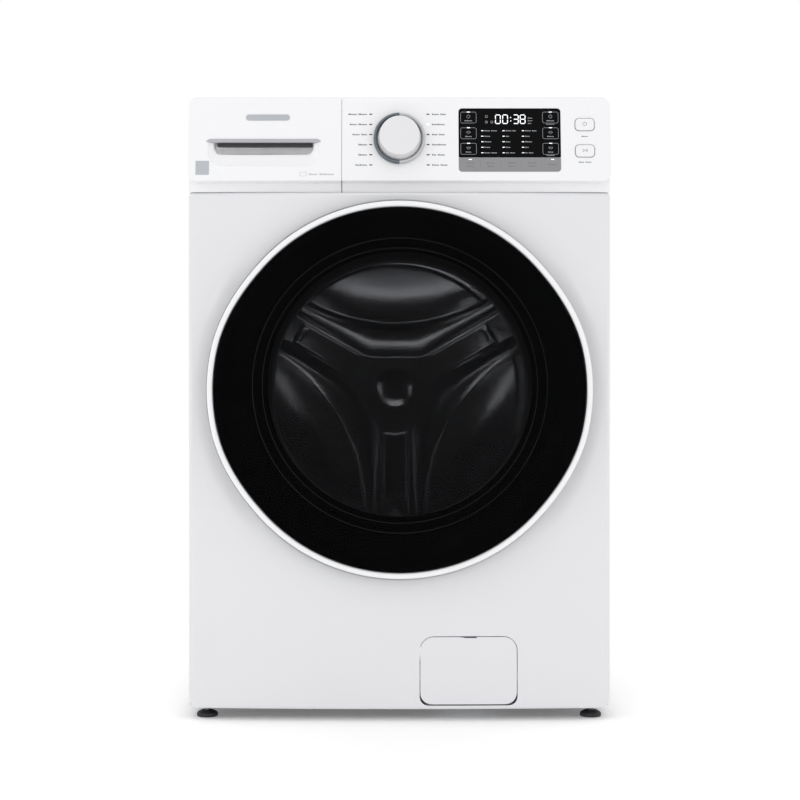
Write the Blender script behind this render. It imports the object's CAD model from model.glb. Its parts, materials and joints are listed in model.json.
"""Front load washing machine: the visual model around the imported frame.

Metres, +Z up, the door faces -Y. Sizes come from the frame's nodes and joints.
"""
import json
import math

import bmesh
import bpy
import numpy as np
from mathutils import Matrix, Vector


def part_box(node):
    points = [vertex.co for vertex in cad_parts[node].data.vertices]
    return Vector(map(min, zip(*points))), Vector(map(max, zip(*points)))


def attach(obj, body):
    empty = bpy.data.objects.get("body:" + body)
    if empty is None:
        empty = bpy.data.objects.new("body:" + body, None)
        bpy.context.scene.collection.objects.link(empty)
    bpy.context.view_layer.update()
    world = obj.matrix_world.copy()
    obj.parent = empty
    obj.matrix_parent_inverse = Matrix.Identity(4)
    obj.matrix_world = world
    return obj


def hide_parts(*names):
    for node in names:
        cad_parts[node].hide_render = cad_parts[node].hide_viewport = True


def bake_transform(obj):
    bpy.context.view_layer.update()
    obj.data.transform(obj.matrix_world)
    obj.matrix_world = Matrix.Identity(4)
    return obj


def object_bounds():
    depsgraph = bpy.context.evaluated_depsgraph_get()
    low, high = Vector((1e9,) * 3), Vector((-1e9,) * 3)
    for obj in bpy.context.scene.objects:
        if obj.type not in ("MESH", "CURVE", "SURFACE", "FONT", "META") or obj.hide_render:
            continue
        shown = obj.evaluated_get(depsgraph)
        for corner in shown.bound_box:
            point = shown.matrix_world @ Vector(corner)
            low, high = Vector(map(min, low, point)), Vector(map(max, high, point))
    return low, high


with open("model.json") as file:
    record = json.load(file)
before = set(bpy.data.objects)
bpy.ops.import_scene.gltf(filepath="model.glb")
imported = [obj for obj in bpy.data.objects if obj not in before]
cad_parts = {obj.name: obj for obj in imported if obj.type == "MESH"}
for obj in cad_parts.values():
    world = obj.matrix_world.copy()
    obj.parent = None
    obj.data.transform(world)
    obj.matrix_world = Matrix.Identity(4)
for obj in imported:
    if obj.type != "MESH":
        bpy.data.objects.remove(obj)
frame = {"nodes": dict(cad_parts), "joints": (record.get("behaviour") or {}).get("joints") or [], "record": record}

cad_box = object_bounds()
MM = 0.001
TAU = 2 * math.pi
JOINTS = {j["name"]: j for j in frame["joints"]}

# ---- Driving dimensions, from the frame ------------------------------------------------------

PANEL_LO, PANEL_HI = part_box("front_panel")
RING_LO, RING_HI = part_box("door_ring")
COVER_LO, COVER_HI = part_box("door_cover")
SHELL_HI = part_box("drum_shell")[1]
HALF_W = PANEL_HI.x
SPLIT_Y = PANEL_HI.y
TOP_Z = cad_box[1].z
AXIS_Z = JOINTS["drum_spin"]["pos_m"][2]
RING_R = (RING_HI.z - RING_LO.z) / 2
RING_SWELL = RING_HI.x - RING_R
COVER_R = (COVER_HI.z - COVER_LO.z) / 2
COVER_SWELL = COVER_HI.x - COVER_R
RING_FRONT = RING_LO.y
RING_BACK = RING_HI.y
DOME_Y = COVER_LO.y
FLOOR_Y = RING_BACK + 18 * MM          # floor of the panel's round recess
PORTHOLE_R = 238 * MM
BOW = 12 * MM
FACE_Y = PANEL_LO.y
DRUM_R = SHELL_HI.x - 1.2 * MM
FASCIA_AXIS = Vector(JOINTS["knob_turn"]["axis"])
FASCIA_TILT = math.atan2(FASCIA_AXIS.z, -FASCIA_AXIS.y)
FASCIA_AT = Vector(JOINTS["knob_turn"]["pos_m"])
ON_FASCIA = Matrix.Translation(FASCIA_AT) @ Matrix.Rotation(-FASCIA_TILT, 4, "X")
SEAM_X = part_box("drawer_front")[1].x + 0.5 * MM
WINDOW_LO, WINDOW_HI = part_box("display_window")


# ---- Materials -------------------------------------------------------------------------------

def srgb(r, g, b):
    """8-bit display colour to linear."""
    return tuple(((v / 255 + 0.055) / 1.055) ** 2.4 if v > 10 else v / 255 / 12.92
                 for v in (r, g, b))


def setup(node, **inputs):
    for key, value in inputs.items():
        node.inputs[key.replace("_", " ")].default_value = value
    return node


def link(source, output, target, socket):
    source.id_data.links.new(source.outputs[output], target.inputs[socket])


def material(name, colour, rough, metal=0.0, vary=0.02, blotch=6.0, bump=0.03, grain=900.0,
             rough_vary=0.05, stretch=(1, 1, 1), **sockets):
    """A Principled material with soft blotches of tone, uneven gloss and a fine bump."""
    mat = bpy.data.materials.new(name)
    mat.use_nodes = True
    nodes = mat.node_tree.nodes
    shader = setup(nodes["Principled BSDF"], Metallic=metal, **sockets)
    coord = nodes.new("ShaderNodeTexCoord")
    place = setup(nodes.new("ShaderNodeMapping"), Scale=stretch)
    link(coord, "Object", place, "Vector")
    tone = setup(nodes.new("ShaderNodeTexNoise"), Scale=blotch, Detail=4)
    link(place, "Vector", tone, "Vector")
    ramp = nodes.new("ShaderNodeValToRGB")
    for stop, at, gain in zip(ramp.color_ramp.elements, (0.3, 0.7), (1 - vary, 1 + vary)):
        stop.position, stop.color = at, (*[min(1, c * gain) for c in colour], 1)
    link(tone, "Fac", ramp, "Fac")
    link(ramp, "Color", shader, "Base Color")
    gloss = setup(nodes.new("ShaderNodeMapRange"), To_Min=max(0.0, rough - rough_vary),
                  To_Max=min(1.0, rough + rough_vary))
    link(tone, "Fac", gloss, "Value")
    link(gloss, "Result", shader, "Roughness")
    fine = setup(nodes.new("ShaderNodeTexNoise"), Scale=grain)
    link(place, "Vector", fine, "Vector")
    relief = setup(nodes.new("ShaderNodeBump"), Strength=bump, Distance=0.2 * MM)
    link(fine, "Fac", relief, "Height")
    link(relief, "Normal", shader, "Normal")
    return mat


def spangle(mat, strength=0.12):
    """Zinc crystals over a galvanised sheet."""
    nodes = mat.node_tree.nodes
    shader = nodes["Principled BSDF"]
    coord = next(n for n in nodes if n.type == "TEX_COORD")
    cells = setup(nodes.new("ShaderNodeTexVoronoi"), Scale=90)
    link(coord, "Object", cells, "Vector")
    old = shader.inputs["Base Color"].links[0].from_socket
    mix = nodes.new("ShaderNodeMix")
    mix.data_type, mix.blend_type = "RGBA", "OVERLAY"
    mix.inputs[0].default_value = strength              # 6, 7 and 2 are the colour sockets
    mat.node_tree.links.new(old, mix.inputs[6])
    grey = nodes.new("ShaderNodeRGBToBW")
    link(cells, "Color", grey, "Color")
    link(grey, "Val", mix, 7)
    link(mix, 2, shader, "Base Color")


# colour as displayed (8 bit), roughness, and what differs from a plain material
PALETTE = {
    "white_enamel": ((224, 224, 227), 0.2, dict(vary=0.008, bump=0.05, grain=260, Coat_Weight=0.3,
        Coat_Roughness=0.08)),
    "white_plastic": ((238, 238, 240), 0.26, dict(vary=0.006, bump=0.03, grain=700,
        Coat_Weight=0.25, Coat_Roughness=0.12)),
    "white_button": ((236, 236, 238), 0.22, dict(vary=0.006, grain=900)),
    "grey_plastic": ((205, 206, 210), 0.42, dict(vary=0.02, bump=0.08, grain=1500)),
    "tub_plastic": ((196, 197, 198), 0.5, dict(vary=0.04, bump=0.1)),
    "dark_plastic": ((42, 42, 45), 0.45, dict(vary=0.1, bump=0.12)),
    "galvanised": ((176, 180, 184), 0.38, dict(metal=0.85, vary=0.05, blotch=14)),
    "stainless": ((196, 197, 200), 0.27, dict(metal=1.0, vary=0.05, blotch=24, bump=0.1, grain=120,
        stretch=(1, 14, 1))),
    "drum_steel": ((176, 177, 182), 0.24, dict(metal=1.0, vary=0.03, blotch=18, bump=0.04,
        grain=160)),
    "machined_steel": ((160, 162, 166), 0.3, dict(metal=1.0, vary=0.06, bump=0.08, grain=400)),
    "cast_aluminium": ((170, 172, 175), 0.5, dict(metal=1.0, vary=0.08, bump=0.3, grain=500)),
    "knob_chrome": ((112, 118, 126), 0.3, dict(metal=1.0, vary=0.03, bump=0.02)),
    "knob_silver": ((196, 197, 199), 0.35, dict(metal=0.6, vary=0.02, bump=0.02)),
    "knob_white": ((224, 224, 226), 0.3, dict(vary=0.006, bump=0.02)),
    "display_black": ((3, 3, 4), 0.16, dict(vary=0.3, bump=0.01, Specular_IOR_Level=0.08)),
    "door_black": ((1, 1, 2), 0.07, dict(vary=0.3, bump=0.002, grain=40, rough_vary=0.02,
        Alpha=0.68, Specular_IOR_Level=0.04)),
    "door_mask": ((5, 5, 6), 0.5, dict(vary=0.3, bump=0.03, Specular_IOR_Level=0.05)),
    "door_line": ((46, 46, 52), 0.4, dict(vary=0.2, bump=0.03)),
    "door_glass": ((214, 222, 222), 0.05, dict(vary=0.02, bump=0.0, rough_vary=0.02, Alpha=0.06,
        Specular_IOR_Level=0.2)),
    "gasket_rubber": ((112, 113, 118), 0.55, dict(vary=0.06, bump=0.2)),
    "black_rubber": ((36, 36, 39), 0.6, dict(vary=0.12, bump=0.25)),
    "concrete": ((176, 174, 168), 0.9, dict(vary=0.15, blotch=40, bump=0.8, grain=240)),
    "print_grey": ((112, 114, 120), 0.45, dict(vary=0.05)),
    "print_pale": ((178, 181, 186), 0.45, dict(vary=0.05)),
    "print_dark": ((52, 54, 58), 0.4, dict(vary=0.08)),
    "strip_grey": ((140, 140, 142), 0.35, dict(vary=0.02, Specular_IOR_Level=0.2)),
    "led_white": ((240, 243, 246), 0.4, dict(vary=0.02, Emission_Color=(0.9, 0.95, 1, 1),
        Emission_Strength=0.7)),
    "led_dim": ((150, 153, 158), 0.4, dict(vary=0.04, Emission_Color=(0.6, 0.63, 0.68, 1),
        Emission_Strength=0.12)),
    "lip_grey": ((176, 176, 180), 0.3, dict(vary=0.03)),
    "pocket_dark": ((38, 38, 42), 0.5, dict(vary=0.1)),
}
M = {name: material(name, srgb(*colour), rough, **more)
     for name, (colour, rough, more) in PALETTE.items()}
spangle(M["galvanised"])
for entry in frame["record"]["subparts"]:
    node = frame["nodes"][entry["node"]]
    node.data.materials.clear()
    node.data.materials.append(M[entry["material_slot"]])


# ---- Outlines and meshes ---------------------------------------------------------------------

def fillet(points, radii, steps=8):
    """Closed polygon with its corners rounded by arcs; radii is one number or one per corner."""
    pts = [np.array(p, float) for p in points]
    radii = [radii] * len(pts) if np.isscalar(radii) else radii
    out = []
    for i, p in enumerate(pts):
        a, b, r = pts[i - 1] - p, pts[(i + 1) % len(pts)] - p, radii[i]
        la, lb = np.linalg.norm(a), np.linalg.norm(b)
        a, b = a / la, b / lb
        half = math.acos(max(-1.0, min(1.0, float(a @ b)))) / 2
        if r <= 0 or half > 1.55:
            out.append(p)
            continue
        reach = min(r / math.tan(half), 0.49 * la, 0.49 * lb)
        r = reach * math.tan(half)
        centre = p + (a + b) / np.linalg.norm(a + b) * r / math.sin(half)
        start, end = p + a * reach - centre, p + b * reach - centre
        t0 = math.atan2(start[1], start[0])
        turn = (math.atan2(end[1], end[0]) - t0 + math.pi) % TAU - math.pi
        at = [t0 + turn * k / steps for k in range(steps + 1)]
        out += [centre + r * np.array([math.cos(t), math.sin(t)]) for t in at]
    return np.array(out)


def resample(points, count):
    """Closed outline as count evenly spaced points."""
    loop = np.vstack([points, points[:1]])
    length = np.concatenate([[0], np.cumsum(np.linalg.norm(np.diff(loop, axis=0), axis=1))])
    at = np.linspace(0, length[-1], count, endpoint=False)
    return np.column_stack([np.interp(at, length, loop[:, k]) for k in (0, 1)])


def outward(points):
    """Unit normals of a closed anticlockwise outline."""
    tangent = np.roll(points, -1, 0) - np.roll(points, 1, 0)
    normal = np.column_stack([tangent[:, 1], -tangent[:, 0]])
    return normal / np.linalg.norm(normal, axis=1)[:, None]


def box_outline(x0, x1, z0, z1, radii=0.0, steps=8):
    """Rounded rectangle, anticlockwise from its lower left corner."""
    return fillet([(x0, z0), (x1, z0), (x1, z1), (x0, z1)], radii, steps)


def placed(name, data):
    """A new object in the scene."""
    obj = bpy.data.objects.new(name, data)
    bpy.context.scene.collection.objects.link(obj)
    return obj


def sheet(obj, thickness, offset):
    """Gives an open skin a sheet's thickness."""
    mod = obj.modifiers.new("sheet", "SOLIDIFY")
    mod.thickness, mod.offset = thickness, offset


def face_out(mesh):
    """Turns every face of a closed mesh outward."""
    bm = bmesh.new()
    bm.from_mesh(mesh)
    bmesh.ops.recalc_face_normals(bm, faces=bm.faces)
    bm.to_mesh(mesh)
    bm.free()


def smooth_shade(mesh, sharp):
    """Smooth shading, with edges steeper than sharp degrees kept crisp."""
    mesh.shade_smooth()
    mesh.set_sharp_from_angle(angle=math.radians(sharp))


def rounded(x0, x1, z0, z1, radii, count, steps=8):
    """Rounded rectangle as count evenly spaced points."""
    return resample(box_outline(x0, x1, z0, z1, radii, steps), count)


def low_high(low, high):
    """Corner radii in metres of a rounded rectangle's lower and upper pair, given in millimetres."""
    return [low * MM, low * MM, high * MM, high * MM]


def made(name, verts, faces, mat, body, place=None, sharp=35, replaces=(), slot=None, smooth=True):
    """A mesh piece that rides on a body; its slot is its material's name unless given."""
    mesh = bpy.data.meshes.new(name)
    mesh.from_pydata([tuple(map(float, v)) for v in verts], [], [tuple(map(int, f)) for f in faces])
    mesh.validate()
    obj = placed(name, mesh)
    if place is not None:
        mesh.transform(place)
    face_out(mesh)
    if smooth:
        smooth_shade(mesh, sharp)
    mesh.materials.append(M[mat])
    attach(obj, body)
    if replaces:
        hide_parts(*replaces)
    return obj


def loft_faces(rings, count, wrap=False, caps=(True, True), base=0):
    """Quads between successive rings of count points; a cap at either end is a single face."""
    faces = []
    for k in range(rings if wrap else rings - 1):
        a, b = base + k * count, base + (k + 1) % rings * count
        for i in range(count):
            j = (i + 1) % count
            faces.append((a + i, a + j, b + j, b + i))
    if caps[0]:
        faces.append(tuple(base + i for i in range(count)))
    if caps[1]:
        faces.append(tuple(base + (rings - 1) * count + i for i in range(count)))
    return faces


def loft(name, rings, mat, body, wrap=False, caps=None, **more):
    """A skin over rings of equal count: closed on itself, or with both ends capped."""
    faces = loft_faces(len(rings), len(rings[0]), wrap, caps or (not wrap, not wrap))
    return made(name, np.vstack(rings), faces, mat, body, **more)


def at_y(outline, y):
    """An X-Z outline as 3-D points at depth y, a number or one per point."""
    return np.column_stack([outline[:, 0], np.broadcast_to(y, len(outline)), outline[:, 1]])


def lathe(name, profile, mat, body, x=0.0, z=0.0, segments=128, wrap=True, **more):
    """Turns a closed profile of (radius, y) points round a line along Y."""
    turn = np.arange(segments) * TAU / segments
    rings = [np.column_stack([x + r * np.cos(turn), np.full(segments, y), z + r * np.sin(turn)])
             for r, y in profile]
    return loft(name, rings, mat, body, wrap=wrap, **more)


def quarter(steps, first=0):
    """1 - sin and 1 - cos at even steps through a quarter turn."""
    for k in range(first, steps + 1):
        phi = k / steps * math.pi / 2
        yield 1 - math.sin(phi), 1 - math.cos(phi)


def hoop(x, y, z, r, turn):
    """Level ring of radius r at the angles turn."""
    return np.column_stack([x + r * np.cos(turn), y + r * np.sin(turn), np.full(len(turn), z)])


def plate(name, outline, y_front, y_back, mat, body, edge=1.0 * MM, steps=4, **more):
    """A flat plate with rounded front edges and a small chamfer behind, from an X-Z outline."""
    n = outward(outline)
    edge = np.broadcast_to(edge, len(outline))[:, None]
    rings = [at_y(outline - n * edge * a, (y_front + edge * b)[:, 0]) for a, b in quarter(steps)]
    back = min(0.4 * MM, (y_back - y_front) / 4)
    rings.append(at_y(outline, y_back - back))
    rings.append(at_y(outline - n * back, y_back))
    obj = loft(name, rings, mat, body, **more)
    weigh(obj)
    return obj


def weigh(obj):
    """Lets large faces keep their own normals beside small fillets."""
    mod = obj.modifiers.new("normals", "WEIGHTED_NORMAL")
    mod.keep_sharp = True


def cut(obj, *cutters):
    """Subtracts closed meshes from a piece and throws them away."""
    for cutter in cutters:
        mod = obj.modifiers.new("cut", "BOOLEAN")
        mod.operation, mod.solver, mod.object = "DIFFERENCE", "EXACT", cutter
    bpy.context.view_layer.update()
    done = bpy.data.meshes.new_from_object(obj.evaluated_get(bpy.context.evaluated_depsgraph_get()))
    obj.modifiers.clear()
    obj.data = done
    for cutter in cutters:
        bpy.data.objects.remove(cutter)
    return obj


def tool(outline_front, y_front, outline_back, y_back, place=None):
    """A closed cutter between two outlines of equal count."""
    verts = np.vstack([at_y(outline_front, y_front), at_y(outline_back, y_back)])
    mesh = bpy.data.meshes.new("tool")
    mesh.from_pydata([tuple(v) for v in verts], [],
                     loft_faces(2, len(outline_front)))
    face_out(mesh)
    if place is not None:
        mesh.transform(place)
    return placed("tool", mesh)


# ---- Camera, light and floor -----------------------------------------------------------------

def add_camera():
    distance = 3.05                     # from the front panel
    frame_w = 1.295                     # width of the view at the front panel
    mid_x, mid_z = 0.0008, 0.5214       # what the middle of the picture looks at
    cam_x, cam_z = -0.045, 0.555
    data = bpy.data.cameras.new("camera")
    data.sensor_width = 36
    data.lens = 36 * distance / frame_w
    data.shift_x = (mid_x - cam_x) / frame_w
    data.shift_y = (mid_z - cam_z) / frame_w
    cam = placed("camera", data)
    cam.location = (cam_x, FACE_Y - distance, cam_z)
    cam.rotation_euler = (math.radians(90), 0, 0)
    bpy.context.scene.camera = cam


def add_light(name, place, target, size, power, hidden=False):
    data = bpy.data.lights.new(name, "AREA")
    data.shape, data.size, data.size_y = "RECTANGLE", size[0], size[1]
    data.energy = power
    lamp = placed(name, data)
    lamp.location = place
    lamp.rotation_euler = (Vector(target) - Vector(place)).to_track_quat("-Z", "Y").to_euler()
    if hidden:
        lamp.visible_camera = lamp.visible_transmission = False


def add_stage():
    world = bpy.data.worlds.new("studio")
    world.use_nodes = True
    sky = world.node_tree.nodes["Background"]
    sky.inputs["Color"].default_value = (1, 1, 1, 1)
    sky.inputs["Strength"].default_value = 1.0
    bpy.context.scene.world = world
    bpy.context.scene.view_settings.view_transform = "Standard"
    middle = (0, 0, 0.55)
    add_light("key", (-1.9, -1.9, 2.3), middle, (0.9, 0.9), 3.2)
    add_light("top", (0, 0.4, 3.1), (0, 0.1, 0), (2.6, 2.6), 5)
    # lamps inside the drum that the camera doesn't see
    add_light("drum_lamp", (0.03, -0.05, 0.765), (0, 0.24, 0.6), (0.3, 0.09), 0.3, hidden=True)
    add_light("drum_side", (0.21, -0.02, 0.56), (0.1, 0.24, 0.5), (0.04, 0.16), 0.07, hidden=True)
    add_light("drum_side_left", (-0.21, -0.02, 0.56), (-0.1, 0.24, 0.5), (0.04, 0.16), 0.045,
              hidden=True)
    floor = bpy.data.meshes.new("floor")
    turn = [k * TAU / 96 for k in range(96)]
    radius = 14.0
    floor.from_pydata([(radius * math.cos(a), radius * math.sin(a), -0.5 * MM) for a in turn], [],
                      [tuple(range(96))])
    ground = placed("floor", floor)
    floor.materials.append(material("floor", srgb(254, 254, 254), 0.8, vary=0.002, bump=0.02,
                                    Specular_IOR_Level=0.0, Emission_Color=(1, 1, 1, 1),
                                    Emission_Strength=0.12))


# ---- Front panel -----------------------------------------------------------------------------

def step_up(value, edge, soft):
    """0 below the edge and 1 above it, with a smooth slope of the given width round it."""
    t = np.clip((value - edge) / soft + 0.5, 0, 1)
    return t * t * (3 - 2 * t)


def swollen(base, swell, angle, reach=42):
    """Radius of the door's outline: a circle that swells near three and nine o'clock."""
    away = np.abs((np.degrees(angle) + 90) % 180 - 90)
    t = np.clip((away - 12) / (reach - 12), 0, 1)
    return base + swell * (1 - t * t * (3 - 2 * t))


def round_door(base, swell, angle, grow=0.0):
    r = swollen(base, swell, angle) + grow
    return np.column_stack([r * np.cos(angle), AXIS_Z + r * np.sin(angle)])


def panel_y(x, z):
    """Depth of the front face: bowed across, scooped beside the door for the fingers."""
    bow = FACE_Y + BOW * (x / HALF_W) ** 2
    dx, dz = np.abs(x), z - AXIS_Z
    radial = np.hypot(dx, dz) - RING_R
    turn = np.degrees(np.arctan2(dz, dx))
    near = step_up(-radial, -19 * MM, 26 * MM)
    band = step_up(turn, -41, 14) * step_up(-turn, -37, 10)
    scoop = 2.6 * MM * near * band
    lip = 1.6 * MM * np.exp(-((turn - 27) / 5.5) ** 2) * step_up(-radial, -30 * MM, 14 * MM)
    return bow + scoop - lip * step_up(radial, 3 * MM, 6 * MM)


def panel_at(points):
    return panel_y(points[:, 0], points[:, 1])


def add_front_panel():
    count = 640
    radius = 6 * MM
    corners = low_high(17.5, 5)
    edge = rounded(-HALF_W, HALF_W, PANEL_LO.z, PANEL_HI.z, corners, count)
    n = outward(edge)
    angle = np.arctan2(edge[:, 1] - AXIS_Z, edge[:, 0])
    hole = lambda r: np.column_stack([r * np.cos(angle), AXIS_Z + r * np.sin(angle)])
    recess = lambda grow: round_door(RING_R, RING_SWELL, angle, 2.5 * MM + grow)
    wall, soft = recess(0), recess(0.7 * MM)
    rings = [at_y(hole(PORTHOLE_R), FLOOR_Y + 9 * MM), at_y(hole(PORTHOLE_R), FLOOR_Y + 3 * MM)]
    rings += [at_y(hole(PORTHOLE_R + 3 * MM * b), FLOOR_Y + 3 * MM * a) for a, b in quarter(3, 1)]
    rings += [at_y(hole(PORTHOLE_R + 30 * MM), FLOOR_Y), at_y(recess(-2 * MM), FLOOR_Y),
              at_y(recess(-0.6 * MM), FLOOR_Y - 0.6 * MM), at_y(wall, FLOOR_Y - 2 * MM),
              at_y(wall, np.minimum(panel_at(wall) + 2 * MM, FLOOR_Y - 2.2 * MM)),
              at_y(soft, panel_at(soft) + 0.5 * MM)]
    start, stop = recess(2 * MM), edge - n * radius
    for s in np.linspace(0, 1, 40) ** 1.5:
        p = start + (stop - start) * s
        rings.append(at_y(p, panel_at(p)))
    for a, b in quarter(6, 1):
        p = edge - n * radius * a
        rings.append(at_y(p, panel_at(p) + radius * b))
    rings += [at_y(edge, SPLIT_Y - 2 * MM), at_y(edge, SPLIT_Y)]
    obj = loft("front_skin", rings, "white_enamel", "cabinet", caps=(False, False),
               replaces=["front_panel"])
    sheet(obj, 1.2 * MM, -1)
    lo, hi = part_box("filter_door")
    grow = 1.1 * MM                     # the folded flap needs more room below
    opening = rounded(lo.x - grow, hi.x + grow, lo.z - 2 * MM, hi.z + grow, low_high(14, 23), 96)
    cut(obj, tool(opening, FACE_Y - 0.02, opening, SPLIT_Y))
    lo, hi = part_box("door_latch_hook")
    slot = rounded(lo.x - 5 * MM, hi.x + 12 * MM, lo.z - 12 * MM, hi.z + 12 * MM, 3 * MM, 64)
    cut(obj, tool(slot, FLOOR_Y - 0.004, slot, FLOOR_Y + 0.006))
    smooth_shade(obj.data, 40)


def add_filter_door():
    lo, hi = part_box("filter_door")
    count = 160
    edge = rounded(lo.x, hi.x, lo.z, hi.z, low_high(18, 22), count)
    n = outward(edge)
    centre = edge.mean(0)
    rings = []
    skin_y = lambda p: panel_at(p) - 0.2 * MM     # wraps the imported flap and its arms
    for t in (0.01, 0.12, 0.25, 0.4, 0.55, 0.7, 0.82, 0.92, 1.0):
        p = centre + (edge - n * MM - centre) * t
        rings.append(at_y(p, skin_y(p)))
    for a, b in quarter(4, 1):
        p = edge - n * MM * a
        rings.append(at_y(p, skin_y(p) + MM * b))
    rings.append(at_y(edge, skin_y(edge) + 1.9 * MM))
    for t in (0.98, 0.5, 0.01):
        p = centre + (edge - centre) * t
        rings.append(at_y(p, skin_y(p) + 2.1 * MM))
    loft("filter_flap_skin", rings, "white_enamel", "filter_flap")
    mid = (lo.x + hi.x) / 2
    notch = rounded(mid - 13 * MM, mid + 13 * MM, hi.z - 1.5 * MM, hi.z + 0.3 * MM, 0.7 * MM, 64)
    plate("filter_notch", notch, panel_y(mid, hi.z) - 0.35 * MM, panel_y(mid, hi.z) + 1.4 * MM,
          "pocket_dark", "filter_flap", edge=0.1 * MM, slot="white_enamel")


# ---- Control panel ---------------------------------------------------------------------------

def local(z):
    """Height along the leaning plate of a point at world height z (metres)."""
    return (z - FASCIA_AT.z) / math.cos(FASCIA_TILT)


def button_centre(name):
    """A key's middle on the leaning plate, a little above its box's because it leans."""
    lo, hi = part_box(name)
    return (lo.x + hi.x) / 2, local((lo.z + hi.z) / 2) + 0.4 * MM


PLATE_LOW = local(0.876)
PLATE_TOP = local(TOP_Z) - 1.6 * MM
PLATE_CORNER = 15 * MM
CORE_Z = 0.884                  # where the set-back band ends and the leaning part begins
KEY_HIGH = 9.8 * MM             # half the height of the power and start keys


def fascia_part(name, x0, x1, body, node, round_left, round_right):
    """A raised leaning plate and the set-back core behind it."""
    small = 0.8 * MM
    left, right = (PLATE_CORNER if round_left else small), (PLATE_CORNER if round_right else small)
    outline = rounded(x0, x1, PLATE_LOW, PLATE_TOP, [left, right, right, left], 520, 12)
    n = outward(outline)
    edge = 2.2 * MM + 6 * MM * np.clip(n[:, 1], 0, 1) ** 2
    at_seam = np.abs(outline[:, 0] - (x1 if round_left else x0)) < 0.4 * MM
    edge = np.where(at_seam, 0.35 * MM, edge)
    front = plate(name + "_plate", outline, 0.0, 30 * MM, "white_plastic", body, edge=edge, steps=6,
                  place=ON_FASCIA, replaces=[node])
    for vertex in front.data.vertices:                  # stops in front of the sides and the top
        vertex.co.y = min(vertex.co.y, SPLIT_Y - 0.3 * MM)
    band = rounded(x0 + 0.2 * MM, x1 - 0.2 * MM, PANEL_HI.z + 0.8 * MM, CORE_Z, small, 400)
    plate(name + "_band", band, PANEL_LO.y + 15 * MM, SPLIT_Y, "white_plastic", body,
          edge=1.2 * MM)
    inset = 0.4 * MM                                    # keeps the core's sides behind the plate's
    top = rounded(x0 + inset, x1 - inset, CORE_Z - 0.5 * MM, TOP_Z - 0.2 * MM,
                  [small, small, 14 * MM if round_right else small,
                   14 * MM if round_left else small],
                  400, 12)
    n = outward(top)
    lean = lambda p: FASCIA_AT.y + (p[:, 1] - FASCIA_AT.z) * math.tan(FASCIA_TILT) + 7 * MM
    inner = top - n * 1.2 * MM
    rings = [np.column_stack([inner[:, 0], lean(inner), inner[:, 1]]),
             np.column_stack([top[:, 0], lean(top) + 1.2 * MM, top[:, 1]]), at_y(top, SPLIT_Y)]
    core = loft(name + "_core", rings, "white_plastic", body)
    return front, core


def handle_outline(side, low, high, radius):
    """The pocket's outline on the leaning plate; millimetres in from its sides, base and top."""
    return box_outline(-0.311 + side * MM, -0.130 - side * MM, (low - 45.5) * MM, (-1 - high) * MM,
                       low_high(radius, 2), 12)


def add_drawer_front():
    front, core = fascia_part("drawer", -HALF_W, SEAM_X - 0.4 * MM, "drawer", "drawer_front",
                              True, False)
    levels = ((-4, (-0.8, -0.8, 0, 33)), (0.6, (0.6, 0.6, 0, 31.5)), (2, (3, 3, 0.2, 29)),
              (4, (7.5, 9, 0.4, 25)), (6.5, (10, 19, 0.6, 17)), (9.5, (11, 31, 0.8, 8)))
    for part in (front, core):
        for (y0, a), (y1, b) in zip(levels, levels[1:]):        # a soft bowl, cut in five steps
            cut(part, tool(handle_outline(*a), y0 * MM, handle_outline(*b), (y1 + 0.01) * MM,
                           ON_FASCIA))
        smooth_shade(part.data, 32)
        weigh(part)
    # grey lip over the pocket, tapering at its ends, and the dark slot under it
    lip = np.array([(-0.3135, -4.6), (-0.306, -5.6), (-0.135, -5.6), (-0.1275, -4.6), (-0.1275, -3),
                    (-0.133, 0.2), (-0.307, 0.2), (-0.3135, -3)])
    lip[:, 1] *= MM
    plate("drawer_lip", resample(fillet(lip, 1.0 * MM), 200), -1.2 * MM, 9 * MM, "lip_grey",
          "drawer", edge=0.8 * MM, place=ON_FASCIA, slot="grey_plastic")
    slot_out = rounded(-0.2955, -0.1415, -11.8 * MM, -5.4 * MM, 0.6 * MM, 120)
    plate("drawer_slot", slot_out, 4 * MM, 11 * MM, "pocket_dark", "drawer", edge=0.4 * MM,
          place=ON_FASCIA, slot="dark_plastic")


def add_control_fascia():
    front, core = fascia_part("fascia", SEAM_X + 0.2 * MM, HALF_W, "cabinet", "control_fascia",
                              False, True)
    for name in ("power_button", "start_button"):
        lo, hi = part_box(name)
        x, z = button_centre(name)
        w, h = (hi.x - lo.x) / 2 + 0.5 * MM, KEY_HIGH + 0.5 * MM
        ring = rounded(x - w, x + w, z - h, z + h, 6.4 * MM, 96)
        for part in (front, core):
            cut(part, tool(ring, -10 * MM, ring, 14 * MM, ON_FASCIA))
    for part in (front, core):
        smooth_shade(part.data, 28)
        weigh(part)


def add_knob():
    ring = fillet([(37, -0.1), (37, -8), (38.8, -10.2), (41, -9.6), (42, -8), (42, -0.1)],
                  [0, 0.8, 0.8, 1.2, 1.0, 0], 4) * MM
    trim = lathe("knob_ring_trim", ring, "knob_chrome", "cabinet", place=ON_FASCIA,
                 replaces=["knob_ring"])
    trim.data.materials.append(M["knob_silver"])
    for face in trim.data.polygons:                     # the right half is polished
        face.material_index = int(face.center.x > FASCIA_AT.x)
    dial = fillet([(0, -6), (0, -25), (32.5, -25), (32.5, -20.5), (30.6, -19.6), (31, -16),
                   (36, -4), (36, -1), (32, -1), (31, -6)],
                  [0, 0, 1.6, 1.0, 0.6, 3, 1, 0.4, 0.3, 0.5], 5)
    dial *= MM
    dial[:, 0] = np.maximum(dial[:, 0], 0.01 * MM)
    lathe("knob_dial", dial, "knob_white", "knob", place=ON_FASCIA, replaces=["cycle_knob"],
          slot="white_plastic")


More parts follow.
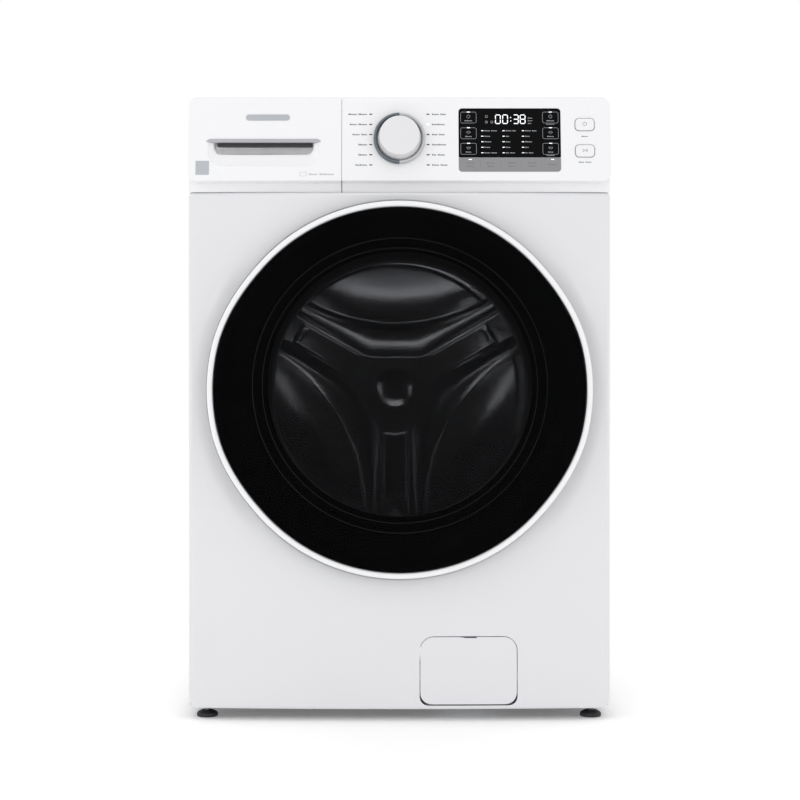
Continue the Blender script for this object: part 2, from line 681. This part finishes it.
def add_buttons():
    for name, body in (("power_button", "power_key"), ("start_button", "start_key")):
        x, z = button_centre(name)
        outline = rounded(x - 15.2 * MM, x + 15.2 * MM, z - KEY_HIGH, z + KEY_HIGH, 6 * MM, 120, 10)
        plate(name + "_cap", outline, -2.5 * MM, 8 * MM, "white_button", body, edge=1.6 * MM, steps=6,
              place=ON_FASCIA, replaces=[name])
        trim = [rounded(x - w, x + w, z - h, z + h, 6.4 * MM + e, 120, 10)
                for w, h, e in ((15.75 * MM, 10.35 * MM, 0), (16.5 * MM, 11.1 * MM, 0.6 * MM))]
        rings = [at_y(trim[0], 0.5 * MM), at_y(trim[0], -0.3 * MM), at_y(trim[1], -0.3 * MM),
                 at_y(trim[1], 0.5 * MM)]
        loft(name + "_trim", rings, "print_pale", "cabinet", wrap=True, place=ON_FASCIA,
             slot="knob_chrome")


# ---- Printed marks and lights ----------------------------------------------------------------

def stamps(name, shapes, mat, body, slot, front=-0.15 * MM, back=0.3 * MM):
    """Many small flat outlines in one thin raised mesh; each shape is a list of (x, z) points."""
    verts, faces = [], []
    for shape in shapes:
        ring = np.array(shape, float)
        base, n = len(verts), len(ring)
        verts += list(at_y(ring, front)) + list(at_y(ring, back))
        faces += loft_faces(2, n, base=base)
    made(name, verts, faces, mat, body, place=ON_FASCIA, slot=slot, smooth=False)


def bar(x0, x1, z0, z1):
    return [(x0, z0), (x1, z0), (x1, z1), (x0, z1)]


def dash(x, z, half_x, half_z):
    """A bar round its centre, with half sizes in millimetres."""
    return bar(x - half_x * MM, x + half_x * MM, z - half_z * MM, z + half_z * MM)


def stroke(points, width, closed=False):
    """A line of constant width, in millimetres, as one quad per run."""
    pts = [np.array(p, float) for p in points]
    out = []
    for a, b in zip(pts, pts[1:] + pts[:1] if closed else pts[1:]):
        t = (b - a) / np.linalg.norm(b - a) * width * MM
        side = np.array([-t[1], t[0]]) / 2
        a, b = a - t * 0.3, b + t * 0.3
        out.append([a - side, b - side, b + side, a + side])
    return out


def arc(x, z, r, a0, a1, steps=14):
    """Points on an arc of radius r millimetres between two angles in degrees."""
    turn = [math.radians(a0 + (a1 - a0) * k / steps) for k in range(steps + 1)]
    return [(x + r * MM * math.cos(t), z + r * MM * math.sin(t)) for t in turn]


def lettering(x, z, words, high=1.9, pitch=2.05, right=False, centre=False):
    """Blank generic lettering: a run of small blocks for each word, words being their lengths."""
    high, pitch = high * MM, pitch * MM
    total = (sum(words) + len(words) - 1) * pitch
    start = x - total if right else x - total / 2 if centre else x
    out, k = [], 0
    for word in words:
        for i in range(word):
            tall = high * (1.0 if (i * 7 + word * 3) % 5 == 0 or i == 0 else 0.72)
            out.append(bar(start + k * pitch, start + (k + 0.78) * pitch,
                           z - high / 2, z - high / 2 + tall))
            k += 1
        k += 1
    return out


SEGMENTS = {"0": "abcdef", "3": "abcdg", "8": "abcdefg"}


def digit(char, x, z, w, h, t):
    """Seven-segment digit; x, z is its lower left corner."""
    a, m, b = z + h, z + h / 2, z
    runs = {"a": ((x, a), (x + w, a)), "d": ((x, b), (x + w, b)), "g": ((x, m), (x + w, m)),
            "f": ((x, m), (x, a)), "b": ((x + w, m), (x + w, a)), "e": ((x, b), (x, m)),
            "c": ((x + w, b), (x + w, m))}
    out = []
    for key in SEGMENTS[char]:
        (x0, z0), (x1, z1) = runs[key]
        gap = t * 0.62
        if key in "adg":
            x0, x1 = x0 + gap, x1 - gap
            out.append([(x0 - t * 0.3, z0), (x0 + t * 0.2, z0 - t / 2), (x1 - t * 0.2, z0 - t / 2),
                        (x1 + t * 0.3, z0), (x1 - t * 0.2, z0 + t / 2), (x0 + t * 0.2, z0 + t / 2)])
        else:
            z0, z1 = z0 + gap, z1 - gap
            out.append([(x0, z0 - t * 0.3), (x0 + t / 2, z0 + t * 0.2), (x0 + t / 2, z1 - t * 0.2),
                        (x0, z1 + t * 0.3), (x0 - t / 2, z1 - t * 0.2), (x0 - t / 2, z0 + t * 0.2)])
    return out


ROWS_TOP, ROWS_PITCH = 0.986, 0.01675          # the cycle names beside the knob


def add_marks():
    dim, lit, dark = [], [], []
    left_words = ([6, 6], [5, 6], [5, 4], [6], [6], [8])
    right_words = ([5, 4], [9], [4, 4], [10], [3, 5], [5, 5])
    for k in range(6):
        z = local(ROWS_TOP - k * ROWS_PITCH)
        dark.append(dash(-46.5 * MM, z, 2.3, 0.95))
        side = lit if k == 1 else dark
        side.append(dash(46.5 * MM, z, 2.3, 0.95))
        dim += lettering(-52.4 * MM, z, left_words[k], high=2.5, pitch=2.35, right=True)
        dim += lettering(53 * MM, z, right_words[k], high=2.5, pitch=2.3)
    px = button_centre("power_button")[0]
    dim += lettering(px, local(0.9495), [5], centre=True)
    dim += lettering(button_centre("start_button")[0], local(0.907), [5, 5], pitch=1.9, centre=True)
    stamps("cycle_labels", dim, "print_grey", "cabinet", slot="grey_plastic")
    stamps("cycle_lights_off", dark, "print_dark", "cabinet", slot="dark_plastic")
    stamps("cycle_light_on", lit, "led_white", "cabinet", slot="white_button")
    # generic badge, sticker and feature mark on the drawer
    badge = [box_outline(-0.2495, -0.178, local(0.9755), local(0.9855), 4.9 * MM, 6)]
    stamps("drawer_badge", badge, "print_pale", "drawer", front=-0.5 * MM, slot="grey_plastic")
    sticker = [box_outline(-0.3305, -0.3085, local(0.886), local(0.909), 0.6 * MM, 3)]
    stamps("drawer_sticker", sticker, "print_pale", "drawer", slot="grey_plastic")
    oval = box_outline(-0.162, -0.150, local(0.884), local(0.8905), 3.1 * MM, 4)
    mark = stroke(oval, 0.5, closed=True)
    mark += lettering(-0.1465, local(0.887), [4, 7], high=2.6, pitch=3.4)
    stamps("drawer_mark", mark, "print_pale", "drawer", slot="grey_plastic")
    # icons on the two buttons, which ride on the keys
    pz, sz = local(0.9695), local(0.9255)
    on_key = {"front": -2.6 * MM, "back": -2.4 * MM, "slot": "grey_plastic"}
    icon = stroke(arc(px, pz, 3.1, 120, 420), 0.55)
    icon += stroke([(px, pz + 0.6 * MM), (px, pz + 3.9 * MM)], 0.55)
    stamps("power_icon", icon, "print_grey", "power_key", **on_key)
    tri = [(px - 3.4 * MM, sz - 2.4 * MM), (px + 0.2 * MM, sz), (px - 3.4 * MM, sz + 2.4 * MM)]
    icon = stroke(tri, 0.5, closed=True)
    icon += [dash(px + dx * MM, sz, 0.3, 2.4) for dx in (1.9, 3.5)]
    stamps("start_icon", icon, "print_grey", "start_key", **on_key)


def key_icon(row, cx, cz):
    """A ring, a diamond or a bowl, for the first, second and third key of a column."""
    if row == 0:
        return stroke(arc(cx, cz + 1.8 * MM, 2.6, 0, 360, 12), 0.5)
    if row == 1:
        diamond = ((-3.4, 1.6), (0, 3.6), (3.4, 1.6), (0, -0.4))
        return stroke([(cx + x * MM, cz + z * MM) for x, z in diamond], 0.5, closed=True)
    rim = [(cx - 3.4 * MM, cz + 2.6 * MM), (cx + 3.4 * MM, cz + 2.6 * MM)]
    return stroke(arc(cx, cz + 2.4 * MM, 2.8, 180, 360, 8), 0.5) + stroke(rim, 0.5)


def add_display():
    """Black glass with outlined keys, digits and option lights over a grey key strip."""
    lo, hi = WINDOW_LO, WINDOW_HI
    x0, x1, z0, z1 = lo.x, hi.x, local(lo.z + 0.2 * MM), local(hi.z - 0.2 * MM)
    split = local(0.9145)
    flat = {"edge": 0.25 * MM, "place": ON_FASCIA}
    plate("display_glass", rounded(x0, x1, split, z1, low_high(0.2, 5.6), 200), -0.25 * MM, 2 * MM,
          "display_black", "cabinet", replaces=["display_window"], **flat)
    plate("display_strip", rounded(x0, x1, z0, split - 0.15 * MM, low_high(5.6, 0.2), 200),
          -0.25 * MM, 2 * MM, "strip_grey", "cabinet", slot="grey_plastic", **flat)
    bright, soft, ink = [], [], []
    half = 9.2                                          # half a key's height, millimetres
    for cx in (x0 + 16.2 * MM, x1 - 16.6 * MM):
        for row, cz in enumerate(map(local, (0.9805, 0.9545, 0.9288))):
            soft += stroke(fillet(dash(cx, cz, 12.7, half), 2.6 * MM, 4), 0.45, closed=True)
            bright.append(dash(cx, cz + half * MM, 2.6, 0.6))
            soft += key_icon(row, cx, cz)
            soft += lettering(cx, cz - 5.3 * MM, [7 - row], high=1.5, pitch=1.75, centre=True)
            if cx > 0.2 and row != 1:
                soft += lettering(cx, cz - 11.1 * MM, [9], high=1.1, pitch=1.5, centre=True)
    zt = local(0.9706)
    for char, x in (("0", 0.1562), ("0", 0.1679), ("3", 0.1853), ("8", 0.1964)):
        bright += digit(char, x, zt, 7.9 * MM, 14.4 * MM, 1.35 * MM)
    bright += [dash(0.18095, zt + dz * MM, 0.75, 0.8) for dz in (4.4, 10.2)]
    for cx, cz in ((0.1415, 0.9822), (0.1415, 0.973), (0.1502, 0.973)):
        soft += stroke(arc(cx, local(cz), 1.9, 0, 360, 8), 0.6)
    for cz, n in ((0.9797, 4), (0.9753, 4), (0.9708, 3)):
        soft += lettering(0.2088, local(cz), [n], high=1.3, pitch=1.9)
    columns = ((0.1346, ([5, 5], [5], [6], [5], [5, 5])), (0.1691, ([5, 3], [3], [4], [4], [3, 4])),
               (0.2007, ([5, 4], [4], [6], [3], [2, 4])))
    for cx, words in columns:
        for row, word in enumerate(words):
            z = local(0.9587 - row * 0.00912)
            bright.append(dash(cx, z, 1.8, 0.55))
            soft += lettering(cx + 3.6 * MM, z, word, high=1.6, pitch=1.85)
    # the grey strip: five touch keys with a line between each two
    keys = (0.1148, 0.1480, 0.1824, 0.2153, 0.2484)
    for cx in (keys[0], keys[-1]):
        bright.append(bar(cx - 2.6 * MM, cx + 2.6 * MM, local(0.9107), local(0.9119)))
    for cx in keys:
        for z, n in ((0.9057, 5), (0.9003, 4)) if cx != keys[-1] else ((0.903, 5),):
            ink += lettering(cx, local(z), [n], high=2.2, pitch=2.7, centre=True)
    for cx in (0.1312, 0.1652, 0.1979, 0.2308):
        ink.append(bar(cx - 0.2 * MM, cx + 0.2 * MM, local(0.8965), local(0.909)))
    stamps("display_lit", bright, "led_white", "cabinet", front=-0.28 * MM, slot="white_button")
    stamps("display_dim", soft, "led_dim", "cabinet", front=-0.27 * MM, slot="grey_plastic")
    stamps("display_ink", ink, "print_grey", "cabinet", front=-0.28 * MM, slot="grey_plastic")


# ---- Door ------------------------------------------------------------------------------------

DOOR_ANGLES = np.arange(360) * TAU / 360
HINGE_ARM_X = (-0.32, -0.25)    # span of the slots for the hinge arms
HINGE_ARM_Z = 75 * MM           # the hinge arms stand this far above and below the door's middle
def add_door():
    outer = lambda grow=0.0: round_door(RING_R, RING_SWELL, DOOR_ANGLES, grow)
    inner = lambda grow=0.0: round_door(COVER_R, COVER_SWELL, DOOR_ANGLES, grow)
    depth = RING_BACK - RING_FRONT
    profile = [(0.06, 1.0), (0.0, 0.96), (0.0, 0.35), (0.03, 0.18), (0.12, 0.07), (0.28, 0.015),
               (0.5, 0.0), (0.75, 0.02), (0.92, 0.06), (1.0, 0.12), (1.0, 0.9), (0.9, 1.0)]
    rings = []
    for t, back in profile:
        rings.append(at_y(outer() + (inner(0.4 * MM) - outer()) * t, RING_FRONT + depth * back))
    rim = loft("door_rim", rings, "white_plastic", "door", wrap=True, replaces=["door_ring"],
               sharp=50)
    back = [(1.6, RING_BACK - 9 * MM), (1.7, RING_BACK - 2 * MM), (1.2, RING_BACK - 0.5 * MM),
            (-3, RING_BACK - 0.5 * MM), (-3, RING_BACK - 9 * MM)]
    trim = loft("door_edge_trim", [at_y(outer(grow * MM), y) for grow, y in back], "pocket_dark",
                "door", wrap=True, slot="dark_plastic", sharp=50)
    hinge_y = JOINTS["door_hinge"]["pos_m"][1]
    for side in (-1, 1):                                # room for the two hinge arms
        z = AXIS_Z + side * HINGE_ARM_Z
        slit = rounded(*HINGE_ARM_X, z - 5.5 * MM, z + 5.5 * MM, 0.5 * MM, 40)
        for part in (rim, trim):
            cut(part, tool(slit, hinge_y - 5.6 * MM, slit, RING_BACK + 1 * MM))
    for part in (rim, trim):
        smooth_shade(part.data, 50)
    rise = RING_FRONT - DOME_Y
    big = (COVER_R ** 2 + rise ** 2) / (2 * rise)
    dome = lambda r: DOME_Y + big - np.sqrt(big ** 2 - r ** 2)

    def skin(name, lift, thick, steps, mat, start=0.0, grow=0.0, up=0.0, **more):
        edge = inner(grow) - [0, AXIS_Z]
        reach = np.hypot(*edge.T)
        front = [edge * t + (1 - t) * (start * edge / reach[:, None] + [0, up]) for t in steps]
        rings = [at_y(p + [0, AXIS_Z], dome(np.hypot(*p.T)) + lift) for p in front]
        rings += [at_y(p + [0, AXIS_Z], dome(np.hypot(*p.T)) + lift + thick) for p in front[::-1]]
        return loft(name, rings, mat, "door", **more)

    steps = list(np.linspace(0.02, 0.985, 24)) + [0.995, 1.0]
    skin("door_dome", 0.0, 3.2 * MM, steps, "door_black",
         replaces=["door_cover"], slot="door_black", sharp=50)
    skin("door_mask", 3.6 * MM, 1.5 * MM, list(np.linspace(0, 1, 8)), "door_mask", start=211 * MM,
         up=9 * MM, grow=-1.5 * MM, wrap=True, slot="door_black", sharp=50)
    for name, r in (("door_trim_inner", 219 * MM), ("door_trim_outer", 235 * MM)):
        centre = AXIS_Z + 7 * MM
        line = [(r, 0), (r, 0.8 * MM), (r + 1.4 * MM, 0.8 * MM), (r + 1.4 * MM, 0)]
        rings = []
        for reach, back in line:
            p = np.column_stack([reach * np.cos(DOOR_ANGLES), reach * np.sin(DOOR_ANGLES) + centre])
            rings.append(at_y(p, dome(np.hypot(p[:, 0], p[:, 1] - AXIS_Z)) + 2.5 * MM + back * 1.3))
        loft(name, rings, "door_line", "door", wrap=True, slot="door_black", sharp=50)


def add_glass():
    outside = fillet([(0, -215), (110, -218), (146, -226), (168, -240), (184, -262), (196, -290),
                      (203, -312), (205, -326), (205, -340), (193, -340), (193, -336), (199, -335),
                      (197, -316), (190, -294), (179, -264), (164, -245), (143, -231), (109, -223),
                      (0, -220)],
                     [0, 30, 30, 30, 40, 40, 30, 8, 2, 2, 1, 3, 30, 40, 40, 30, 30, 30, 0], 6) * MM
    outside[:, 0] = np.maximum(outside[:, 0], 0.01 * MM)
    lathe("glass_bowl", outside, "door_glass", "door", z=AXIS_Z, replaces=["door_glass"],
          segments=160, sharp=60)


# ---- Gasket and drum -------------------------------------------------------------------------

def add_gasket():
    profile = fillet([(246, -325), (246, -322.1), (237.8, -322.1), (237.8, -309), (235, -306),
                      (235, -290), (237, -284), (237, -274), (232, -268), (230, -262),
                      (230, -250.6), (226.5, -250.6), (226.5, -264), (229, -270), (233, -275),
                      (233, -283), (231, -290), (231, -300), (222, -296), (212, -298), (208, -304),
                      (208, -312), (212, -318), (222, -319), (232, -322), (234, -325)],
                     2.0, 3) * MM
    obj = lathe("gasket", profile, "gasket_rubber", "cabinet", z=AXIS_Z, segments=180,
                replaces=["door_gasket"], sharp=60)
    obj.parent = None
    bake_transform(obj)


def tub_link(obj):
    """Ties a springy piece to one body at its lower end and to the other at its upper end."""
    obj.parent = None
    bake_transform(obj)


def add_springs():
    lo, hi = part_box("suspension_springs")
    wire, turns, sides = 2 * MM, 12, 12
    for k, sign in enumerate((-1, 1)):
        radius = (hi.y - lo.y) / 2 - wire
        x, y = sign * (hi.x - radius - wire), (lo.y + hi.y) / 2
        z0, z1 = lo.z + wire, hi.z - wire
        rings = []
        for a in np.linspace(0, turns * TAU, turns * 28 + 1):
            level = z0 + (z1 - z0) * a / (turns * TAU)
            part = np.arange(sides) * TAU / sides
            reach = radius + wire * np.cos(part)
            rings.append(np.column_stack([x + reach * math.cos(a), y + reach * math.sin(a),
                                          level + wire * np.sin(part)]))
        obj = loft("spring_%d" % (k + 1), rings, "machined_steel", "cabinet", sharp=60,
                   replaces=["suspension_springs"] if k == 0 else ())
        tub_link(obj)


def add_bellows(node, folds):
    lo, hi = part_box(node)
    x, y, outer = (lo.x + hi.x) / 2, (lo.y + hi.y) / 2, (hi.x - lo.x) / 2
    turn = np.arange(96) * TAU / 96
    steps = np.linspace(0, 1, folds * 10 + 1)
    wave = outer - 3 * MM * (0.5 + 0.5 * np.cos(steps * folds * TAU)) ** 0.8
    profile = [(r, z) for r, z in zip(wave, lo.z + steps * (hi.z - lo.z))]
    profile += [(r - 1.6 * MM, z) for r, z in profile[::-1]]
    rings = [hoop(x, y, z, r, turn) for r, z in profile]
    obj = loft(node + "_skin", rings, "black_rubber", "cabinet", wrap=True, replaces=[node], sharp=70)
    tub_link(obj)


ARMS = [math.radians(a) for a in (30, 150, 270)]


# The pressed pattern of the drum's back
ARM_HALF = 28 * MM              # half the width of the star's arms
HUB_EDGE = 62 * MM              # from the centre to the hub's edge between two arms
STAR_TOP = 18                   # the star's height over the lowest sheet, millimetres
LENS_EDGE, LENS_CURVE = 122, 40         # a lens's inner edge at its middle, and its rise, millimetres


def between(value, low, high, soft_low, soft_high):
    """1 from low to high, falling smoothly to 0 outside."""
    return step_up(value, low, soft_low) * step_up(-value, -high, soft_high)


def back_relief(r, a):
    """How far the drum's back plate stands forward at radius r and angle a.

    A three-armed star stands proud, a smooth valley runs round it, and a bulging lens fills the
    space between each two arms.
    """
    turn = (a - ARMS[0]) % (TAU / 3) - math.pi / 3              # from the lens's axis
    u, v = r * np.cos(turn), np.abs(r * np.sin(turn))
    across = np.abs(u * math.sin(math.pi / 3) - v * math.cos(math.pi / 3))      # from the arm's line
    arm, hub = across - ARM_HALF, u - HUB_EDGE
    mix = np.clip(0.5 + (arm - hub) / (18 * MM), 0, 1)          # smooth least of the two
    out = arm * (1 - mix) + hub * mix - 5 * MM * mix * (1 - mix)
    gap = (LENS_EDGE + LENS_CURVE * (v / (158 * MM)) ** 2) * MM - u
    away, near = np.clip(out, 0, None), np.clip(gap, 0, None)
    w = np.where(gap <= 0, 1, away / np.maximum(away + near, 1 * MM))   # star 0, lens 1
    valley = (14 * (1 - w) ** 3 + 7 * w ** 3 - 3 * w * (1 - w)) * MM
    t = np.clip(-gap / (112 * MM), 0, 1)
    bulge = (3.4 + 8.5 * np.clip(np.sin(math.pi * (0.1 + 0.9 * t)), 0, 1)) * MM
    bead = (7 + 2.6 * np.sin(math.pi * np.clip(-gap / (3 * MM), 0, 1))) * MM
    rim = step_up(-r, -236 * MM, 6 * MM)
    height = np.where(gap > 0, valley, np.where(gap > -3 * MM, bead, bulge) * rim)
    star = step_up(-out, 0, 5 * MM)
    pad = step_up(-across, -21 * MM, 4 * MM) * between(r, 88 * MM, 214 * MM, 6 * MM, 5 * MM)
    clip = step_up(-across, -13 * MM, 3 * MM) * between(r, 202 * MM, 211 * MM, 3 * MM, 3 * MM)
    dimple = step_up(-r, -30 * MM, 26 * MM)
    collar = step_up(-r, -40 * MM, 10 * MM)
    top = (STAR_TOP + 3 * pad + 1.5 * clip + collar - 7 * dimple) * MM
    return height * (1 - star) + top * star


def add_drum_back():
    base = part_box("drum_back")[1].y - 9.5 * MM
    count = 540
    turn = np.arange(count) * TAU / count
    radii = np.concatenate([[0.6 * MM], np.linspace(4 * MM, DRUM_R - 1 * MM, 170)])
    rings = []
    for r in radii:
        y = base - back_relief(np.full(count, r), turn)
        rings.append(np.column_stack([r * np.cos(turn), y, AXIS_Z + r * np.sin(turn)]))
    obj = loft("drum_back_plate", rings, "drum_steel", "drum", caps=(True, False),
               replaces=["drum_back"], slot="stainless", sharp=75)
    sheet(obj, 0.8 * MM, 0)


CELL = ((-1, -1), (0, -1), (1, -1), (1, 0), (1, 1), (0, 1), (-1, 1), (-1, 0))     # round its edge


def add_drum_shell():
    """Rolled sheet, perforated all round, with a rolled front lip."""
    lo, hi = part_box("drum_shell")
    around, along = 96, 26
    y0, y1 = lo.y + 34 * MM, hi.y - 8 * MM
    hole = 2.2 * MM
    pitch_a, pitch_y = TAU / around, (y1 - y0) / along
    verts, faces, index = [], [], {}

    def vert(a, y):
        key = (round((a % TAU) * 1e5), round(y * 1e6))
        if key not in index:
            index[key] = len(verts)
            verts.append((DRUM_R * math.cos(a), y, AXIS_Z + DRUM_R * math.sin(a)))
        return index[key]

    for i in range(around):
        for j in range(along):
            a, y = (i + 0.5) * pitch_a, y0 + (j + 0.5) * pitch_y
            rim = [vert(a + sa * pitch_a / 2, y + sy * pitch_y / 2)
                   for sa, sy in CELL]
            if (i + j) % 2:                             # every other cell has no hole
                faces.append(tuple(rim))
                continue
            ring = [vert(a + hole / DRUM_R * math.cos(t), y + hole * math.sin(t))
                    for t in (math.radians(225 + 45 * k) for k in range(8))]
            for k in range(8):
                faces.append((rim[k], rim[(k + 1) % 8], ring[(k + 1) % 8], ring[k]))
    obj = made("drum_tube", verts, faces, "stainless", "drum", replaces=["drum_shell"], sharp=40)
    sheet(obj, 1.0 * MM, 1)
    front = fillet([(DRUM_R, y0), (DRUM_R, lo.y + 11 * MM), (DRUM_R - 13 * MM, lo.y + 4.5 * MM),
                    (240 * MM, lo.y + 1.5 * MM), (229.2 * MM, lo.y + 3 * MM),
                    (229.2 * MM, lo.y + 14 * MM),
                    (228 * MM, lo.y + 14 * MM), (228 * MM, lo.y + 2 * MM), (239.5 * MM, lo.y),
                    (DRUM_R - 13.4 * MM, lo.y + 3 * MM), (DRUM_R + 1 * MM, lo.y + 10 * MM),
                    (DRUM_R + 1 * MM, y0)],
                   np.array([0, 10, 8, 6, 3, 0, 0, 3.6, 7, 9, 11, 0]) * MM, 5)
    lathe("drum_lip", front, "stainless", "drum", z=AXIS_Z, segments=192, sharp=50)
    rear = [(DRUM_R, y1), (DRUM_R + 1 * MM, y1), (DRUM_R + 1 * MM, hi.y), (DRUM_R, hi.y)]
    lathe("drum_rear_band", rear, "stainless", "drum", z=AXIS_Z, segments=192)


def add_lifters():
    lo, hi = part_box("drum_lifters")
    for k, arm in enumerate(ARMS):
        rings = []
        ys = np.concatenate([[lo.y], np.linspace(lo.y + 4 * MM, hi.y - 4 * MM, 20), [hi.y]])
        for y in ys:
            end = min(y - lo.y, hi.y - y)
            tall = 48 * MM * (1 - math.exp(-(end + 2 * MM) / (16 * MM)))
            u = np.linspace(-1, 1, 25)
            width = 33 * MM
            h = DRUM_R - 1.2 * MM - tall * (np.cos(u * math.pi) * 0.5 + 0.5) ** 0.8
            top = np.column_stack([h, u * width])
            base = np.array([[DRUM_R - 1.2 * MM, width], [DRUM_R - 1.2 * MM, -width]])
            loop = np.vstack([top, base])
            c, s = math.cos(arm), math.sin(arm)
            rings.append(np.column_stack([loop[:, 0] * c - loop[:, 1] * s, np.full(len(loop), y),
                                          AXIS_Z + loop[:, 0] * s + loop[:, 1] * c]))
        loft("lifter_%d" % (k + 1), rings, "grey_plastic", "drum", sharp=50,
             replaces=["drum_lifters"] if k == 0 else ())


# ---- Side panels, top and back ---------------------------------------------------------------

def sheet_field(name, x, sign, node):
    """A side sheet with a shallow pressed frame and two pressed fields, facing along X."""
    lo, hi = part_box(node)
    y0, y1, z0, z1 = lo.y, hi.y, lo.z, hi.z
    sink = 2.2 * MM
    steps_y, steps_z = np.linspace(y0, y1, 90), np.linspace(z0, z1, 130)
    yy, zz = np.meshgrid(steps_y, steps_z)

    def inside(ya, yb, za, zb, r, soft):
        dy = np.maximum(np.abs(yy - (ya + yb) / 2) - (yb - ya) / 2 + r, 0)
        dz = np.maximum(np.abs(zz - (za + zb) / 2) - (zb - za) / 2 + r, 0)
        t = np.clip((r - np.hypot(dy, dz)) / soft, 0, 1)
        return t * t * (3 - 2 * t)

    frame_in = inside(y0 + 0.07, y1 - 0.07, z0 + 0.08, z1 - 0.08, 0.05, 0.016)
    field = np.zeros_like(frame_in)
    mid = (z0 + z1) / 2
    for za, zb in ((z0 + 0.125, mid - 0.02), (mid + 0.02, z1 - 0.125)):
        field = np.maximum(field, inside(y0 + 0.115, y1 - 0.115, za, zb, 0.04, 0.016))
    xx = x - sign * sink * np.clip(frame_in - field, 0, 1)
    count = len(steps_y)
    verts = np.column_stack([xx.ravel(), yy.ravel(), zz.ravel()])
    faces = [(j * count + i, j * count + i + 1, (j + 1) * count + i + 1, (j + 1) * count + i)
             for j in range(len(steps_z) - 1) for i in range(count - 1)]
    obj = made(name, verts, faces, "white_enamel", "cabinet", sharp=60)
    normal_out = obj.data.polygons[0].normal.x * sign > 0
    sheet(obj, 1.0 * MM, -1 if normal_out else 1)


def add_side_panels():
    sheet_field("side_skin_left", -HALF_W, -1, "side_panel_left")
    sheet_field("side_skin_right", HALF_W, 1, "side_panel_right")
    for name, sign in (("side_panel_left", -1), ("side_panel_right", 1)):
        lo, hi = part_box(name)
        inner = sign * (HALF_W - 18 * MM)
        x0, x1 = sorted((inner, sign * (HALF_W - 1.1 * MM)))
        verts, faces = [], []
        for y in (lo.y + 0.05 * MM, hi.y - 3.5 * MM):
            faces += loft_faces(2, 4, base=len(verts))
            verts += [(*p, z) for z in (lo.z, hi.z) for p in bar(x0, x1, y, y + 1.2 * MM)]
        made(name + "_flanges", verts, faces, "white_enamel", "cabinet",
             smooth=False, replaces=[name])


def add_top_panel():
    lo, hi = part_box("top_panel")
    corner = 14 * MM
    w, low, top = hi.x, lo.z, hi.z
    shape = rounded(-w, w, low, top, [0.4 * MM, 0.4 * MM, corner, corner], 240, 10)
    n = outward(shape)
    front, rear = 1.2 * MM, 3 * MM                      # radii of the two long edges
    rings = [at_y(shape - n * front * a, lo.y + front * b) for a, b in quarter(4)]
    rings.append(at_y(shape, hi.y - rear))
    rings += [at_y(shape - n * rear * b, hi.y - rear * a) for a, b in quarter(5, 1)]
    weigh(loft("top_slab", rings, "white_enamel", "cabinet",
               replaces=["top_panel"]))


def rear_plate(name, x, z, half_x, half_z, out, mat, **more):
    """A small raised pressing or plug on the back, facing +Y; half sizes in metres."""
    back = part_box("rear_panel")[1].y
    corner = more.pop("corner", min(half_x, half_z) / 1.025)
    outline = rounded(-x - half_x, -x + half_x, z - half_z, z + half_z, corner, 80)
    plate(name, outline, -back - out, -back + 0.3 * MM, mat, "cabinet",
          **{"edge": out * 0.9, "place": Matrix.Rotation(math.pi, 4, "Z"), **more})


def add_back():
    bead = (1.6 * MM, "galvanised")
    for k, z in enumerate((0.075, 0.115, 0.155, 0.195)):
        rear_plate("rear_bead_low_%d" % (k + 1), 0, z, 0.235, 6 * MM, *bead)
    for k, z in enumerate((0.775, 0.815, 0.855)):
        rear_plate("rear_bead_high_%d" % (k + 1), 0, z, 0.2, 6 * MM, *bead)
    for k, x in enumerate((-0.262, 0.262)):
        rear_plate("rear_bead_side_%d" % (k + 1), x, 0.4925, 6 * MM, 0.2425, *bead)
    for k, (x, z) in enumerate(((-0.215, 0.36), (0.215, 0.36), (-0.215, 0.70), (0.215, 0.70))):
        rear_plate("transit_plug_%d" % (k + 1), x, z, 15 * MM, 15 * MM, 3 * MM, "grey_plastic",
                   edge=1.2 * MM)
    for k in range(9):
        rear_plate("rear_vent_%d" % (k + 1), -0.05 + k * 12.5 * MM, 0.945, 2 * MM, 20 * MM, 0.5 * MM,
                   "pocket_dark", edge=0.2 * MM, slot="dark_plastic")
    rear_plate("rating_plate", -0.1, 0.945, 0.03, 0.03, 0.3 * MM, "print_pale", edge=0.1 * MM,
               corner=3 * MM, slot="grey_plastic")


# ---- Feet ------------------------------------------------------------------------------------

def add_feet():
    names = ("foot_front_left", "foot_front_right", "foot_rear_left", "foot_rear_right")
    for k, name in enumerate(names):
        lo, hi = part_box(name)
        x, y = (lo.x + hi.x) / 2, (lo.y + hi.y) / 2
        turn = np.arange(72) * TAU / 72
        up = fillet([(0.02, 0), (16.2, 0), (17.5, 1.2), (17.5, 5.2), (15.5, 7.4), (10, 10.2),
                     (0.02, 10.4)], [0, 1, 0.8, 1.2, 2, 1.5, 0], 4) * MM
        rings = [hoop(x, y, z, r, turn) for r, z in up]
        loft(name + "_pad", rings, "black_rubber", "foot_%d" % (k + 1), wrap=True,
             replaces=[name], sharp=50)
        thread = [hoop(x, y, z, (4.9 if i % 3 == 1 else 4.45) * MM, turn)
                  for i, z in enumerate(np.arange(10 * MM, hi.z, 0.5 * MM))]
        loft(name + "_stud", thread, "machined_steel", "foot_%d" % (k + 1))


# ---- Build -----------------------------------------------------------------------------------

add_camera()
add_stage()
add_front_panel()
add_filter_door()
add_drawer_front()
add_control_fascia()
add_knob()
add_buttons()
add_marks()
add_display()
add_door()
add_glass()
add_gasket()
add_springs()
add_bellows("dispenser_bellows", 8)
add_bellows("sump_hose", 8)
add_drum_back()
add_drum_shell()
add_lifters()
add_side_panels()
add_top_panel()
add_back()
add_feet()
